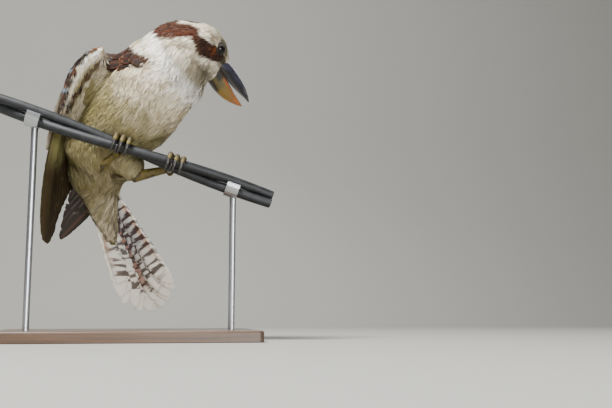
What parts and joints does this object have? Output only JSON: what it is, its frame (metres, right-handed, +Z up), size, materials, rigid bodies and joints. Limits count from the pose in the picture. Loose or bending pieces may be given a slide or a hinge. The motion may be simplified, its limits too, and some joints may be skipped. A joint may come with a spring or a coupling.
{
  "type": "laughing kookaburra",
  "caption": "Life-size still model of a laughing kookaburra leaning forward with an open bill, gripping a cut length of twisted cable on a plain display stand.",
  "frame": {"origin": "centre of the underside of the stand's flat base", "axes": "+Z up; the cable runs along X and falls towards +X; the belly faces -Y turned towards +X, and the bill points to +X and +Y"},
  "size_m": [0.3005, 0.174, 0.3433],
  "materials": {
    "pale_plumage": "soft matte feathers, cream to buff, brown streaks on the head",
    "wing_feathers": "satin flight feathers, dark brown with pale edges",
    "tail_feathers": "satin tail feathers, white and rufous with dark bars",
    "bill_upper": "satin dark horn",
    "bill_lower": "satin yellow horn",
    "eye": "glossy dark brown",
    "leg_skin": "scaled olive-yellow skin",
    "claw": "satin black horn",
    "cable_sheath": "weathered black polyethylene",
    "stand_wood": "dark stained, satin lacquer",
    "stand_metal": "brushed"
  },
  "bodies": {
    "root": {"torso": "pale_plumage", "neck": "pale_plumage", "head": "pale_plumage", "bill_upper": "bill_upper", "bill_lower": "bill_lower", "eye_left": "eye", "eye_right": "eye", "wing_right": "wing_feathers", "wing_left": "wing_feathers", "tail": "tail_feathers", "thigh_left": "pale_plumage", "thigh_right": "pale_plumage", "foot_left": "leg_skin", "foot_right": "leg_skin", "claw_left_1": "claw", "claw_left_2": "claw", "claw_left_3": "claw", "claw_left_hind": "claw", "claw_right_1": "claw", "claw_right_2": "claw", "claw_right_3": "claw", "claw_right_hind": "claw", "cable_front": "cable_sheath", "cable_back": "cable_sheath", "stand_base": "stand_wood", "stand_rod_left": "stand_metal", "stand_rod_right": "stand_metal"}
  },
  "joints": []
}
